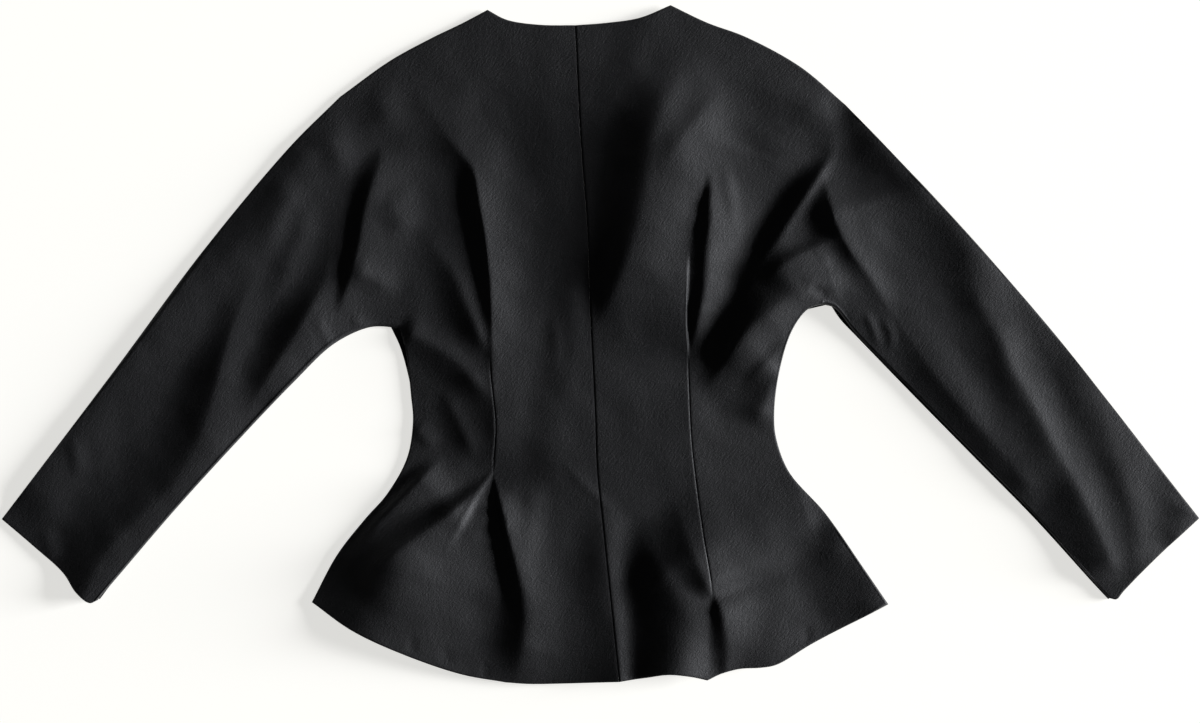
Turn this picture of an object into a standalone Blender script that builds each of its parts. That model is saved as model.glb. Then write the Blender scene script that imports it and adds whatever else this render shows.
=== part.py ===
"""A collarless single-button jacket, laid out flat on its front with its back upwards.

Each half of the back is cut in one with the back of its sleeve, and each half of the front with
the front of its sleeve. The two halves of the back meet at the centre seam, and a waist tuck,
sewn only round the waist, shapes each of them. The fronts lie flat underneath, lapped at the
centre and closed by the one button, whose face is on the surface that the jacket lies on.
"""

import bmesh
import bpy
import numpy as np

# Driving dimensions, in metres
MM = 0.001
CLOTH = 1.6 * MM
SEAM_GAP = 0.3 * MM
LAYER_GAP = 0.5 * MM
LOFT = 3.0 * MM
EDGE_ROUND = 12.0 * MM
EDGE_DROP = 4.0 * MM
SLOPE_LIMIT = 1.7
BUTTON_RADIUS = 11.0 * MM
BUTTON_THICKNESS = 3.0 * MM
BUTTON_RIM = 0.9 * MM
BUTTON_SIDES = 32
LIFT_FLAT = 30.0 * MM
LIFT_REACH = 130.0 * MM
LAP_MARGIN = 14.0 * MM
LAP_SLOPE = 45.0 * MM

# The laid-out jacket is drafted in millimetres, to the right and down from the corner of a
# cutting table, and the middle of the table is the part's origin.
TABLE_MIDDLE = (600.25, 344.65)
BUTTON_PLACE = (596.0, 442.0)

# How many sections the grid of each panel has, and where they lie between its guide lines
BACK_LOW_ROWS = 22
BACK_HIGH_ROWS = 15
BACK_SLEEVE_SECTIONS = 30
CENTRE_TO_TUCK = (0.0, 0.10, 0.22, 0.36, 0.50, 0.64, 0.76, 0.88, 1.0)
TUCK_TO_SIDE = (0.0, 0.07, 0.15, 0.25, 0.36, 0.48, 0.61, 0.75, 0.88, 1.0)
FRONT_LOW_ROWS = 10
FRONT_HIGH_ROWS = 6
FRONT_SLEEVE_SECTIONS = 10
EDGE_TO_SIDE = (0.0, 0.12, 0.26, 0.42, 0.60, 0.80, 1.0)

# The centre back seam, from the hem to the neck. Columns: right, down
CENTRE_LOW = ((619, 681), (609, 586), (602, 519), (597, 470), (595, 413), (590, 312))
CENTRE_HIGH = ((590, 312), (587.5, 235), (580, 130), (575, 25.5))

# The edges and the tuck line of each half of the back. Columns: right, down
BACK_LEFT = {
    "tuck_low": ((506, 682), (501, 600), (496, 530), (493.5, 470), (496, 425), (491, 372), (490, 312)),
    "tuck_high": ((490, 312), (487, 237), (478, 172), (477, 95), (487.5, 10)),
    "hem_inner": ((619, 681), (595, 682), (568, 683), (530, 683.6), (506, 682)),
    "hem_outer": ((506, 682), (462, 674), (407, 655), (351, 629), (312, 602)),
    "side": ((312, 602), (337, 555), (365, 519), (387, 494), (407, 458), (413, 422), (411, 395), (406, 352),
             (400, 329)),
    "neck": ((575, 25.5), (540, 25), (507, 20), (487.5, 10)),
    "shoulder": ((487.5, 10), (462, 23.5), (432, 38), (390, 61), (340, 97)),
    "sleeve_line": ((400, 329), (372, 215), (340, 97)),
    "underarm": ((400, 329), (383, 326.5), (367, 328), (334, 344), (293, 383), (234, 445), (174.5, 510.5),
                 (121, 573), (98, 600)),
    "overarm": ((340, 97), (290, 147), (204, 250), (118, 366), (41, 468), (2, 519)),
    "cuff": ((98, 600), (91, 602.5), (77, 592), (64, 573), (35, 547), (2, 519)),
}
BACK_RIGHT = {
    "tuck_low": ((707, 679.5), (712, 600), (703, 535), (695, 475), (691, 436), (688, 363), (686.5, 304)),
    "tuck_high": ((686.5, 304), (691, 245), (699, 190), (695, 105), (670.5, 5.5)),
    "hem_inner": ((619, 681), (645, 677), (668, 673.5), (690, 675.5), (707, 679.5)),
    "hem_outer": ((707, 679.5), (722, 672.5), (740, 668), (760, 667), (776, 664), (812, 643), (888, 604)),
    "side": ((888, 604), (864, 569), (825, 513), (789, 472), (776, 438), (774, 413), (779, 372), (792, 330),
             (808, 309), (822, 304.5)),
    "neck": ((575, 25.5), (607, 23), (640, 18), (670.5, 5.5)),
    "shoulder": ((670.5, 5.5), (707, 23), (745, 37), (800, 67), (845, 105)),
    "sleeve_line": ((822, 304.5), (836, 205), (845, 105)),
    "underarm": ((822, 304.5), (834, 308), (856, 334), (919, 398), (977, 457), (1036, 517), (1094, 582),
                 (1109, 598)),
    "overarm": ((845, 105), (895, 157), (976, 244), (1050, 329), (1109, 403), (1168, 479), (1198.5, 518)),
    "cuff": ((1109, 598), (1116, 599), (1123, 591), (1153, 560), (1198.5, 518)),
}

# The edges at which a back is sewn to its front. The hem, the cuff and the neck stay open.
SEWN_EDGES = ("side", "underarm", "overarm", "shoulder")

# The edges of each half of the front, from its own free edge outwards. Columns: right, down
FRONT_LEFT = {
    "edge_low": ((638, 676), (627, 560), (616, 450), (596, 350)),
    "edge_high": ((596, 350), (560, 235), (523, 120), (489, 14)),
    "hem": ((638, 676), (568, 680), (506, 679), (462, 671), (407, 652), (351, 626), (314, 600)),
    "side": ((314, 600), (338, 555), (365, 519), (387, 494), (407, 458), (413, 422), (412, 395), (401, 349),
             (391, 327)),
    "shoulder": ((489, 14), (462, 27), (432, 41), (391, 64), (342, 100)),
    "sleeve_line": ((391, 327), (370, 215), (342, 100)),
    "underarm": ((391, 327), (381, 324), (367, 326), (332.5, 342.5), (291.5, 381.5), (232.5, 443.5),
                 (173, 509), (120.5, 572), (100, 599)),
    "overarm": ((342, 100), (292, 150), (206, 253), (120, 369), (43, 470), (5, 519)),
    "cuff": ((100, 599), (79, 591), (66, 572), (37, 545), (5, 519)),
}
FRONT_RIGHT = {
    "edge_low": ((599, 678), (588, 560), (577, 450), (592, 350)),
    "edge_high": ((592, 350), (618, 235), (644, 120), (669, 10)),
    "hem": ((599, 678), (645, 674), (707, 670), (760, 664), (812, 640), (886, 602)),
    "side": ((886, 602), (864, 569), (825, 513), (789, 472), (775, 438), (773, 413), (778, 372), (791, 330),
             (810, 307), (830, 304)),
    "shoulder": ((669, 10), (707, 26), (745, 40), (799, 70), (843, 108)),
    "sleeve_line": ((830, 304), (838, 205), (843, 108)),
    "underarm": ((830, 304), (840, 319), (857, 337), (918, 400), (976, 459), (1035, 519), (1093, 583),
                 (1108, 599)),
    "overarm": ((843, 108), (893, 160), (974, 247), (1048, 332), (1107, 406), (1166, 481), (1195, 518)),
    "cuff": ((1108, 599), (1122, 589), (1152, 558), (1195, 518)),
}

# The largest folds of the back, in millimetres: the line that each crest runs along from its upper
# end, its height, how far it reaches on the left and on the right of that line, and the share of its
# length over which it dies away at each end. A crest is rounded over a share of its reach.
# Columns: line of (right, down), height, left, right, fade_in, fade_out
CREST = 0.25
FOLDS = (
    # Left shoulder and armpit
    (((352, 112), (272, 205), (190, 318)), 3.5, 28, 52, 0.3, 0.4),
    (((383, 140), (373, 187), (359, 248), (337, 320)), 6.2, 17, 50, 0.35, 0.3),
    (((412, 222), (455, 277), (488, 358)), 3.6, 24, 22, 0.5, 0.2),
    # Left waist tuck: the edge of the middle panel, over the hollow beside it
    (((408, 84), (459, 151), (480, 206), (490, 275), (493, 385)), 10.5, 22, 50, 0.55, 0.6),
    (((484, 215), (493, 362), (494, 474)), 6.2, 60, 88, 0.4, 0.25),
    # Left side and hip
    (((398, 329), (450, 357), (496, 408)), 4.4, 24, 26, 0.15, 0.3),
    (((446, 456), (411, 491), (356, 552), (328, 592)), 5.0, 16, 72, 0.3, 0.5),
    # Left sleeve
    (((335, 226), (312, 311), (280, 364), (242, 420)), 10.0, 28, 95, 0.45, 0.35),
    (((266, 250), (223, 370), (195, 455), (138, 522), (78, 616)), 9.8, 48, 120, 0.3, 0.03),
    (((243, 206), (113, 379), (1, 512)), 5.0, 8, 90, 0.35, 0.15),
    # Left half of the skirt, below the release of the tuck
    (((492, 474), (442, 521), (350, 588)), 10.0, 27, 105, 0.35, 0.4),
    (((420, 520), (404, 590), (392, 670)), 6.5, 70, 150, 0.4, 0.02),
    (((406, 538), (348, 652)), 8.0, 62, 100, 0.5, 0.03),
    (((494, 474), (508, 536), (525, 598), (515, 700)), 9.0, 20, 68, 0.22, 0.2),
    (((600, 490), (612, 612), (619, 700)), 7.0, 36, 20, 0.5, 0.02),
    # Right half of the middle panel
    (((704, 46), (661, 120), (645, 205), (618, 288), (588, 354)), 11.0, 38, 88, 0.4, 0.45),
    (((655, 20), (640, 180), (600, 360)), 6.0, 115, 120, 0.3, 0.4),
    (((730, 82), (686, 134), (654, 184)), 2.8, 22, 56, 0.4, 0.4),
    # Right waist tuck: the far lip of its hollow, and its sewn part
    (((709.5, 168), (708, 221), (703, 290), (690, 359)), 7.4, 14, 75, 0.4, 0.4),
    (((688, 362), (692, 445), (704, 538)), 3.6, 85, 120, 0.35, 0.3),
    # Right shoulder and armpit
    (((818, 78), (778, 152), (746, 196)), 5.0, 58, 44, 0.3, 0.4),
    (((838, 144), (820, 172), (801, 201), (770, 251), (743, 306), (730, 338)), 8.5, 24, 120, 0.25, 0.5),
    (((845, 290), (808, 290), (770, 313), (736, 345), (700, 404)), 14.0, 44, 80, 0.4, 0.25),
    (((842, 240), (796, 258), (760, 286)), 4.8, 14, 74, 0.3, 0.35),
    (((822, 172), (837, 228), (870, 280), (930, 365)), 10.5, 34, 240, 0.27, 0.65),
    (((784, 364), (768, 394), (752, 430)), 4.4, 30, 31, 0.3, 0.3),
    # Right sleeve
    (((836, 92), (932, 196), (1032, 309), (1092, 381)), 8.0, 72, 16, 0.15, 0.5),
    (((878, 288), (948, 390), (1042, 510)), 4.8, 30, 55, 0.4, 0.25),
    (((960, 262), (1010, 370), (1070, 480), (1116, 584)), 6.2, 40, 32, 0.35, 0.05),
    (((1052, 310), (1112, 450), (1136, 580)), 3.9, 50, 46, 0.2, 0.1),
    # Right half of the skirt
    (((636, 520), (677, 590), (681, 640), (666, 704)), 15.5, 54, 62, 0.25, 0.04),
    (((674, 484), (692, 545), (714, 602)), 6.2, 24, 200, 0.75, 0.2),
    (((713, 588), (726, 640), (732, 694)), 6.2, 14, 103, 0.35, 0.3),
    (((755, 470), (767, 580), (778, 690)), 4.5, 110, 66, 0.4, 0.1),
    (((824, 514), (854, 556), (886, 606)), 8.0, 50, 14, 0.4, 0.03),
)


def place(points):
    """Points drafted on the cutting table, in metres about the part's origin."""
    table = np.asarray(points, dtype=float)
    return np.column_stack(((table[:, 0] - TABLE_MIDDLE[0]) * MM, (TABLE_MIDDLE[1] - table[:, 1]) * MM))


def smooth_line(points, steps=24):
    """A smooth curve through all the points, as a close polyline."""
    knots = place(points)
    before = 2 * knots[0] - knots[1]
    after = 2 * knots[-1] - knots[-2]
    padded = np.vstack((before, knots, after))
    gaps = np.sqrt(np.linalg.norm(np.diff(padded, axis=0), axis=1))
    line = []
    for index in range(len(knots) - 1):
        first, start, end, last = padded[index:index + 4]
        gap_a, gap_b, gap_c = gaps[index:index + 3]
        slope_start = (start - first) / gap_a - (end - first) / (gap_a + gap_b) + (end - start) / gap_b
        slope_end = (end - start) / gap_b - (last - start) / (gap_b + gap_c) + (last - end) / gap_c
        for step in range(steps):
            t = step / steps
            line.append((2 * t**3 - 3 * t**2 + 1) * start + (t**3 - 2 * t**2 + t) * gap_b * slope_start
                        + (3 * t**2 - 2 * t**3) * end + (t**3 - t**2) * gap_b * slope_end)
    line.append(knots[-1])
    return np.array(line)


def along(line, shares):
    """The points at these shares of a polyline's length."""
    travelled = np.concatenate(((0.0,), np.cumsum(np.linalg.norm(np.diff(line, axis=0), axis=1))))
    wanted = np.asarray(shares) * travelled[-1]
    return np.column_stack([np.interp(wanted, travelled, line[:, axis]) for axis in (0, 1)])


def guide(low, high, low_rows, high_rows):
    """A line from the hem to the shoulder, with one point for each row of sections."""
    lower = along(smooth_line(low), np.linspace(0, 1, low_rows + 1))
    upper = along(smooth_line(high), np.linspace(0, 1, high_rows + 1))
    return np.vstack((lower, upper[1:]))


def patch(inner, outer, foot, head, across):
    """A grid of points, row by row, between four edge lines that meet at their ends."""
    u = np.asarray(across)[None, :, None]
    v = np.linspace(0, 1, len(inner))[:, None, None]
    between_sides = (1 - u) * inner[:, None, :] + u * outer[:, None, :]
    between_ends = (1 - v) * foot[None, :, :] + v * head[None, :, :]
    corners = ((1 - u) * (1 - v) * foot[0] + u * (1 - v) * foot[-1]
               + (1 - u) * v * head[0] + u * v * head[-1])
    return between_sides + between_ends - corners


def smooth_step(value):
    """Rises softly from 0 to 1 as the value does."""
    clipped = np.clip(value, 0, 1)
    return clipped * clipped * (3 - 2 * clipped)


def distance_to(line, points):
    """How far each point is from a polyline, where along it, and on which side."""
    start = line[:-1]
    span = np.diff(line, axis=0)
    offset = points[:, None, :] - start[None, :, :]
    share = np.clip((offset * span).sum(axis=2) / (span * span).sum(axis=1), 0, 1)
    apart = offset - share[:, :, None] * span[None, :, :]
    away = np.linalg.norm(apart, axis=2)
    nearest = away.argmin(axis=1)
    rows = np.arange(len(points))
    turn = span[nearest, 0] * offset[rows, nearest, 1] - span[nearest, 1] * offset[rows, nearest, 0]
    return away[rows, nearest], (nearest + share[rows, nearest]) / len(span), turn


def fold_height(points):
    """The sum of all the folds at each point."""
    total = np.zeros(len(points))
    for line, height, left, right, fade_in, fade_out in FOLDS:
        away, share, turn = distance_to(smooth_line(line, steps=8), points)
        ratio = away / (np.where(turn > 0, right, left) * MM)
        from_crest = np.sqrt(ratio**2 + CREST**2) - CREST
        strength = smooth_step(share / fade_in) * smooth_step((1 - share) / fade_out)
        total += height * MM * strength * np.maximum(1 - from_crest, 0) ** 2
    return total


def button_lift(points):
    """How far the button holds up the cloth that lies over it."""
    middle = place((BUTTON_PLACE,))[0]
    away = np.linalg.norm(points - middle, axis=1)
    share = smooth_step((LIFT_REACH - away) / (LIFT_REACH - LIFT_FLAT))
    return (BUTTON_THICKNESS + SEAM_GAP) * share


def lap_lift(points):
    """How far the left front is held up where it lies over the edge of the right front."""
    low = smooth_line(FRONT_RIGHT["edge_low"])
    high = smooth_line(FRONT_RIGHT["edge_high"])
    edge = np.vstack((low, high[1:]))
    edge_x = np.interp(points[:, 1], edge[:, 1], edge[:, 0])
    outside = edge_x - points[:, 0]
    return (CLOTH + LAYER_GAP) * smooth_step((LAP_MARGIN + LAP_SLOPE - outside) / LAP_SLOPE)


def panel_grid(body, sleeve):
    """The points of a panel, and its triangles, from the grids of its body and its sleeve.

    The sleeve's first section is the upper part of the body's last column.
    """
    body_rows, body_columns = body.shape[:2]
    sleeve_rows = sleeve.shape[0]
    first_row = body_rows - sleeve_rows
    body_index = np.arange(body_rows * body_columns).reshape(body_rows, body_columns)
    new_columns = sleeve.shape[1] - 1
    sleeve_index = np.empty((sleeve_rows, new_columns + 1), dtype=int)
    sleeve_index[:, 0] = body_index[first_row:, -1]
    sleeve_index[:, 1:] = body_index.size + np.arange(sleeve_rows * new_columns).reshape(sleeve_rows, -1)
    points = np.vstack((body.reshape(-1, 2), sleeve[:, 1:].reshape(-1, 2)))
    triangles = []
    for index in (body_index, sleeve_index):
        for row in range(index.shape[0] - 1):
            for column in range(index.shape[1] - 1):
                a, b = index[row, column], index[row, column + 1]
                c, d = index[row + 1, column + 1], index[row + 1, column]
                triangles.append((a, b, c))
                triangles.append((a, c, d))
    first = points[list(triangles[0])]
    side_a, side_b = first[1] - first[0], first[2] - first[0]
    if side_a[0] * side_b[1] - side_a[1] * side_b[0] < 0:
        triangles = [(a, c, b) for a, b, c in triangles]
    return points, triangles


def rim_of(triangles):
    """The directed edges round the outside of a sheet of triangles."""
    edges = set()
    for a, b, c in triangles:
        edges.update(((a, b), (b, c), (c, a)))
    return sorted((a, b) for a, b in edges if (b, a) not in edges)


def steepness(points, heights, triangles):
    """The length of cloth over each point for one unit of plan, from the slopes round it."""
    corners = np.column_stack((points, heights))
    faces = np.array(triangles)
    first, second, third = (corners[faces[:, corner]] for corner in range(3))
    normals = np.cross(second - first, third - first)
    total = np.zeros_like(corners)
    for corner in range(3):
        np.add.at(total, faces[:, corner], normals)
    return np.linalg.norm(total, axis=1) / total[:, 2]


def plain_material(name, colour, roughness):
    """A plain Principled material."""
    material = bpy.data.materials.new(name)
    material.use_nodes = True
    shader = material.node_tree.nodes["Principled BSDF"]
    shader.inputs["Base Color"].default_value = (*colour, 1.0)
    shader.inputs["Roughness"].default_value = roughness
    shader.inputs["Metallic"].default_value = 0.0
    return material


def add_object(name, vertices, faces, material):
    """A named object with one mesh and one material."""
    mesh = bpy.data.meshes.new(name)
    mesh.from_pydata([tuple(vertex) for vertex in vertices], [], faces)
    mesh.materials.append(material)
    mesh.shade_smooth()
    made = bpy.data.objects.new(name, mesh)
    bpy.context.scene.collection.objects.link(made)
    return made


def add_panel(name, points, triangles, underside, wall, material):
    """A panel of cloth: its underside, its upper side a wall above, and the rim between them."""
    lower = np.column_stack((points, underside))
    upper = np.column_stack((points, underside + wall))
    count = len(points)
    faces = [(int(a), int(b), int(c)) for a, b, c in triangles]
    faces += [(int(a) + count, int(c) + count, int(b) + count) for a, b, c in triangles]
    for a, b in rim_of(triangles):
        faces.append((int(b), int(a), int(a) + count))
        faces.append((int(b), int(a) + count, int(b) + count))
    return add_object(name, np.vstack((upper, lower)), faces, material)


def build_back(name, edges, gap_side, material):
    """One half of the back with its sleeve, standing off the front in its folds."""
    centre = guide(CENTRE_LOW, CENTRE_HIGH, BACK_LOW_ROWS, BACK_HIGH_ROWS)
    centre[:, 0] += gap_side * SEAM_GAP / 2
    tuck = guide(edges["tuck_low"], edges["tuck_high"], BACK_LOW_ROWS, BACK_HIGH_ROWS)
    side = guide(edges["side"], edges["sleeve_line"], BACK_LOW_ROWS, BACK_HIGH_ROWS)
    inner_foot = along(smooth_line(edges["hem_inner"]), CENTRE_TO_TUCK)
    inner_head = along(smooth_line(edges["neck"]), CENTRE_TO_TUCK)
    inner_foot[0, 0] = centre[0, 0]
    inner_head[0, 0] = centre[-1, 0]
    inner = patch(centre, tuck, inner_foot, inner_head, CENTRE_TO_TUCK)
    outer_foot = along(smooth_line(edges["hem_outer"]), TUCK_TO_SIDE)
    outer_head = along(smooth_line(edges["shoulder"]), TUCK_TO_SIDE)
    outer = patch(tuck, side, outer_foot, outer_head, TUCK_TO_SIDE)
    body = np.concatenate((inner, outer[:, 1:]), axis=1)
    sections = np.linspace(0, 1, BACK_SLEEVE_SECTIONS + 1)
    cuff = along(smooth_line(edges["cuff"]), np.linspace(0, 1, BACK_HIGH_ROWS + 1))
    underarm = along(smooth_line(edges["underarm"]), sections)
    overarm = along(smooth_line(edges["overarm"]), sections)
    sleeve = patch(side[BACK_LOW_ROWS:], cuff, underarm, overarm, sections)
    points, triangles = panel_grid(body, sleeve)

    to_seam = np.full(len(points), np.inf)
    for edge in SEWN_EDGES:
        to_seam = np.minimum(to_seam, distance_to(smooth_line(edges[edge]), points)[0])
    rise = LOFT * (1 - np.exp(-to_seam / EDGE_ROUND))
    relief = rise + fold_height(points) * np.sqrt(1 - np.exp(-to_seam / EDGE_DROP))
    fronts_top = button_lift(points) + lap_lift(points) + CLOTH
    underside = fronts_top + SEAM_GAP + relief
    wall = CLOTH * np.minimum(steepness(points, underside, triangles), SLOPE_LIMIT)
    return add_panel(name, points, triangles, underside, wall, material)


def build_front(name, edges, lapped_over, material):
    """One half of the front with its sleeve, flat on the surface but for the lap and the button."""
    edge = guide(edges["edge_low"], edges["edge_high"], FRONT_LOW_ROWS, FRONT_HIGH_ROWS)
    side = guide(edges["side"], edges["sleeve_line"], FRONT_LOW_ROWS, FRONT_HIGH_ROWS)
    foot = along(smooth_line(edges["hem"]), EDGE_TO_SIDE)
    head = along(smooth_line(edges["shoulder"]), EDGE_TO_SIDE)
    body = patch(edge, side, foot, head, EDGE_TO_SIDE)
    sections = np.linspace(0, 1, FRONT_SLEEVE_SECTIONS + 1)
    cuff = along(smooth_line(edges["cuff"]), np.linspace(0, 1, FRONT_HIGH_ROWS + 1))
    underarm = along(smooth_line(edges["underarm"]), sections)
    overarm = along(smooth_line(edges["overarm"]), sections)
    sleeve = patch(side[FRONT_LOW_ROWS:], cuff, underarm, overarm, sections)
    points, triangles = panel_grid(body, sleeve)
    underside = button_lift(points)
    if lapped_over:
        underside = underside + lap_lift(points)
    return add_panel(name, points, triangles, underside, np.full(len(points), CLOTH), material)


def build_button(name, material):
    """A flat shank button with a rounded rim, face down."""
    shape = bmesh.new()
    bmesh.ops.create_cone(shape, cap_ends=True, segments=BUTTON_SIDES, radius1=BUTTON_RADIUS,
                          radius2=BUTTON_RADIUS, depth=BUTTON_THICKNESS)
    rims = [edge for edge in shape.edges if abs(edge.verts[0].co.z - edge.verts[1].co.z) < BUTTON_RIM]
    bmesh.ops.bevel(shape, geom=rims, offset=BUTTON_RIM, segments=2, profile=0.5, affect="EDGES")
    mesh = bpy.data.meshes.new(name)
    shape.to_mesh(mesh)
    shape.free()
    mesh.materials.append(material)
    mesh.shade_smooth()
    made = bpy.data.objects.new(name, mesh)
    middle = place((BUTTON_PLACE,))[0]
    made.location = (middle[0], middle[1], BUTTON_THICKNESS / 2)
    bpy.context.scene.collection.objects.link(made)
    return made


for existing in list(bpy.data.objects):
    bpy.data.objects.remove(existing)

CLOTH_COLOUR = (0.012, 0.012, 0.013)
CLOTH_ROUGHNESS = 0.75
BUTTON_COLOUR = (0.010, 0.010, 0.011)
BUTTON_ROUGHNESS = 0.4
build_front("front_right", FRONT_RIGHT, False,
            plain_material("front_right_cloth", CLOTH_COLOUR, CLOTH_ROUGHNESS))
build_front("front_left", FRONT_LEFT, True, plain_material("front_left_cloth", CLOTH_COLOUR, CLOTH_ROUGHNESS))
build_back("back_left", BACK_LEFT, -1, plain_material("back_left_cloth", CLOTH_COLOUR, CLOTH_ROUGHNESS))
build_back("back_right", BACK_RIGHT, 1, plain_material("back_right_cloth", CLOTH_COLOUR, CLOTH_ROUGHNESS))
build_button("button", plain_material("button_finish", BUTTON_COLOUR, BUTTON_ROUGHNESS))
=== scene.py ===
import math

import bpy
import numpy as np
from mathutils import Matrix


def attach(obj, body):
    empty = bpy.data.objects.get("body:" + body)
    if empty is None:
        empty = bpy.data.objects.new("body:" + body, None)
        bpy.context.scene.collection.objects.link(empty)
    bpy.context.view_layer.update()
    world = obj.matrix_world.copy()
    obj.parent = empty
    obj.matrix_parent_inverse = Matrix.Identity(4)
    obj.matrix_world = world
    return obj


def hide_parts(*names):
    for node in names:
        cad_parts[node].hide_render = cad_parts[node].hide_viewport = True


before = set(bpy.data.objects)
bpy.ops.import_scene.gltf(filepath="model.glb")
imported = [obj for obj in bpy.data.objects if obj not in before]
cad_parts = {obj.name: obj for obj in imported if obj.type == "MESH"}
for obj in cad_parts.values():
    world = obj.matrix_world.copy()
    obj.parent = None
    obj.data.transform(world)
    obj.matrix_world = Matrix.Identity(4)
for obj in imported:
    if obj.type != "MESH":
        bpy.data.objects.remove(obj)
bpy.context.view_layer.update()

# The two halves of the front
# Each is cut in one with the front of its sleeve, from the same black wool crepe as the back. They
# lie face down on the floor, and the left one lies over the edge of the right one, held up a little
# by that edge and by the button under both.
# The cloth and the gaps between its layers, the button under them, and over what lengths the button
# and the lap lift the cloth
MM = 0.001
CLOTH = 1.6 * MM
SEAM_GAP = 0.3 * MM
LAYER_GAP = 0.5 * MM
BUTTON_PLACE = (596.0, 442.0)
BUTTON_THICKNESS = 3.0 * MM
LIFT_FLAT = 30.0 * MM
LIFT_REACH = 130.0 * MM
LAP_MARGIN = 14.0 * MM
LAP_SLOPE = 45.0 * MM
# The lengths in millimetres that a front's grid is spaced over, and the steps of that grid, which
# get finer towards an edge
FRONT_BELOW_WAIST = 340.0
FRONT_ABOVE_WAIST = 240.0
FRONT_ACROSS = 240.0
FRONT_SLEEVE = 520.0
FRONT_STEP = 7.0
FINE_STEPS = (0.35, 0.5, 0.75, 1.1, 1.6, 2.2)
# The black wool crepe: its two tones, the tint of its sheen, its lint, the range of its roughness and
# the depth of its grain
CREPE_DARK = (0.0035, 0.0035, 0.0039, 1)
CREPE_LIGHT = (0.0106, 0.0107, 0.0118, 1)
CREPE_SHEEN = (0.92, 0.94, 1.0, 1)
LINT_COLOUR = (0.05, 0.05, 0.05, 1)
CREPE_ROUGHNESS = (0.7, 0.54)
GRAIN_DEPTH = 0.5 * MM
# How fine its grain, its warp, its wear and its lint are, in waves or specks per metre, how much longer
# than wide the threads of the warp are, and where a speck of lint fades, as a share of its cell
GRAIN_PER_METRE = 620.0
WARP_PER_METRE = 650.0
WEAR_PER_METRE = 26.0
LINT_PER_METRE = 30.0
WARP_STRETCH = 4
LINT_SIZE = (0.026, 0.012)
# The share of the warp in the height of the threads, and of wear and grain in the tone
WARP_SHARE = 0.9
WEAR_SHARE = 0.5
GRAIN_SHARE = 0.5
# The jacket is drafted in millimetres on a cutting table, whose middle is the origin.
# Columns: right, down
TABLE_MIDDLE = (600.25, 344.65)
FRONT_LEFT = {
    "edge_low": ((638, 676), (627, 560), (616, 450), (596, 350)),
    "edge_high": ((596, 350), (560, 235), (523, 120), (489, 14)),
    "hem": ((638, 676), (568, 680), (506, 679), (462, 671), (407, 652), (351, 626), (314, 600)),
    "side": ((314, 600), (338, 555), (365, 519), (387, 494), (407, 458), (413, 422), (412, 395),
             (401, 349), (391, 327)),
    "shoulder": ((489, 14), (462, 27), (432, 41), (391, 64), (342, 100)),
    "sleeve_line": ((391, 327), (370, 215), (342, 100)),
    "underarm": ((391, 327), (381, 324), (367, 326), (332.5, 342.5), (291.5, 381.5), (232.5, 443.5),
                 (173, 509), (120.5, 572), (100, 599)),
    "overarm": ((342, 100), (292, 150), (206, 253), (120, 369), (43, 470), (5, 519)),
    "cuff": ((100, 599), (79, 591), (66, 572), (37, 545), (5, 519)),
}
FRONT_RIGHT = {
    "edge_low": ((599, 678), (588, 560), (577, 450), (592, 350)),
    "edge_high": ((592, 350), (618, 235), (644, 120), (669, 10)),
    "hem": ((599, 678), (645, 674), (707, 670), (760, 664), (812, 640), (886, 602)),
    "side": ((886, 602), (864, 569), (825, 513), (789, 472), (775, 438), (773, 413), (778, 372),
             (791, 330), (810, 307), (830, 304)),
    "shoulder": ((669, 10), (707, 26), (745, 40), (799, 70), (843, 108)),
    "sleeve_line": ((830, 304), (838, 205), (843, 108)),
    "underarm": ((830, 304), (840, 319), (857, 337), (918, 400), (976, 459), (1035, 519), (1093, 583),
                 (1108, 599)),
    "overarm": ((843, 108), (893, 160), (974, 247), (1048, 332), (1107, 406), (1166, 481), (1195, 518)),
    "cuff": ((1108, 599), (1122, 589), (1152, 558), (1195, 518)),
}


def place(points):
    """Points drafted on the cutting table, in metres about the part's origin."""
    table = np.asarray(points, dtype=float)
    return np.column_stack(((table[:, 0] - TABLE_MIDDLE[0]) * MM, (TABLE_MIDDLE[1] - table[:, 1]) * MM))


def smooth_line(points, steps=24):
    """A smooth curve through all the points, as a close polyline."""
    knots = place(points)
    padded = np.vstack((2 * knots[0] - knots[1], knots, 2 * knots[-1] - knots[-2]))
    gaps = np.sqrt(np.linalg.norm(np.diff(padded, axis=0), axis=1))
    t = (np.arange(steps) / steps)[:, None]
    line = []
    for index in range(len(knots) - 1):
        first, start, end, last = padded[index:index + 4]
        gap_a, gap_b, gap_c = gaps[index:index + 3]
        slope_start = (start - first) / gap_a - (end - first) / (gap_a + gap_b) + (end - start) / gap_b
        slope_end = (end - start) / gap_b - (last - start) / (gap_b + gap_c) + (last - end) / gap_c
        line.append((2 * t**3 - 3 * t**2 + 1) * start + (t**3 - 2 * t**2 + t) * gap_b * slope_start
                    + (3 * t**2 - 2 * t**3) * end + (t**3 - t**2) * gap_b * slope_end)
    line.append(knots[-1:])
    return np.vstack(line)


def along(line, shares):
    """The points at these shares of a polyline's length."""
    travelled = np.concatenate(((0.0,), np.cumsum(np.linalg.norm(np.diff(line, axis=0), axis=1))))
    wanted = np.asarray(shares) * travelled[-1]
    return np.column_stack([np.interp(wanted, travelled, line[:, axis]) for axis in (0, 1)])


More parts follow.
